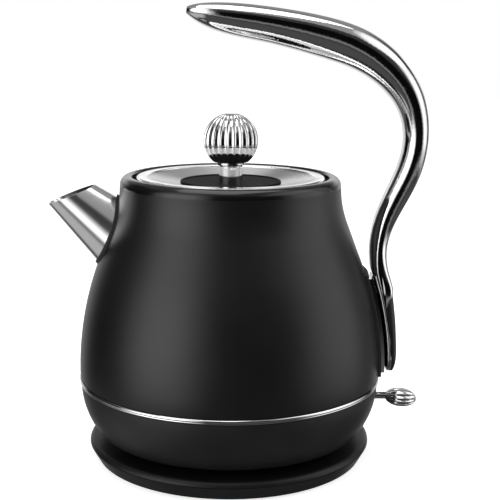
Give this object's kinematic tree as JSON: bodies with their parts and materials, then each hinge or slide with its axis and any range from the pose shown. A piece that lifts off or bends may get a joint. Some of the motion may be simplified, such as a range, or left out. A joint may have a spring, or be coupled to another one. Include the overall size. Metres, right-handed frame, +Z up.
{
  "type": "electric kettle",
  "caption": "Cordless electric kettle with a belly-shaped steel body, conical spout, hook handle, lift-off lid with a ball knob, and a round power base.",
  "frame": {"origin": "centre of the power base on the worktop, under its foot ring", "axes": "+Z up along the kettle's axis, +X towards the handle and the switch, -X towards the spout"},
  "size_m": [0.1974, 0.1596, 0.2377],
  "materials": {
    "black_coat": "matte black stoving enamel on steel",
    "black_plastic": "satin black moulded plastic",
    "chrome_plate": "polished chrome",
    "satin_steel": "spun stainless steel",
    "black_rubber": "soft black silicone",
    "clear_silicone": "pale silicone",
    "heater_aluminium": "plain aluminium",
    "contact_brass": "plain brass",
    "control_plastic": "natural heat-proof plastic",
    "zinc_steel": "zinc-plated steel"
  },
  "bodies": {
    "base": {"base_tray": "black_plastic", "base_cover": "black_plastic", "base_screws": "zinc_steel", "foot_ring": "black_rubber", "cord_gland": "black_rubber", "terminal_block": "control_plastic", "base_connector": "black_plastic", "contact_rings": "contact_brass"},
    "swivel": {"centre_pin": "contact_brass"},
    "kettle": {"body_shell": "black_coat", "trim_ring": "chrome_plate", "lower_housing": "black_plastic", "bottom_cover": "black_plastic", "housing_screws": "zinc_steel", "heating_plate": "satin_steel", "heat_spreader": "heater_aluminium", "heating_element": "heater_aluminium", "steam_tube": "satin_steel", "kettle_socket": "control_plastic", "socket_contacts": "contact_brass", "control_unit": "control_plastic", "bimetal_discs": "contact_brass", "steam_switch": "control_plastic", "switch_pin": "zinc_steel", "spout": "chrome_plate", "spout_seal": "black_rubber", "spout_strainer": "satin_steel", "handle_gasket": "black_rubber", "handle_bracket": "chrome_plate", "handle_screws": "zinc_steel", "handle_outer_shell": "chrome_plate", "handle_inner_shell": "chrome_plate", "handle_insert": "black_plastic"},
    "switch": {"switch_lever": "chrome_plate", "switch_paddle": "chrome_plate"},
    "lid": {"lid_rim": "chrome_plate", "lid_dish": "satin_steel", "lid_disc": "black_plastic", "lid_plug": "black_plastic", "lid_seal": "clear_silicone", "knob_stem": "chrome_plate", "knob_collar": "chrome_plate", "knob": "chrome_plate", "knob_screw": "zinc_steel"}
  },
  "joints": [
    {"name": "kettle_swivel", "type": "hinge", "parent": "base", "child": "swivel", "pos_m": [0, 0, 0.011], "axis": [0, 0, 1], "continuous": true},
    {"name": "kettle_lift", "type": "slide", "parent": "swivel", "child": "kettle", "axis": [0, 0, 1], "range_m": [0, 0.06]},
    {"name": "lid_lift", "type": "slide", "parent": "kettle", "child": "lid", "axis": [0, 0, 1], "range_m": [0, 0.033]},
    {"name": "switch_press", "type": "hinge", "parent": "kettle", "child": "switch", "pos_m": [0.063, 0, 0.0304], "axis": [0, 1, 0], "range_deg": [0, 12]}
  ]
}
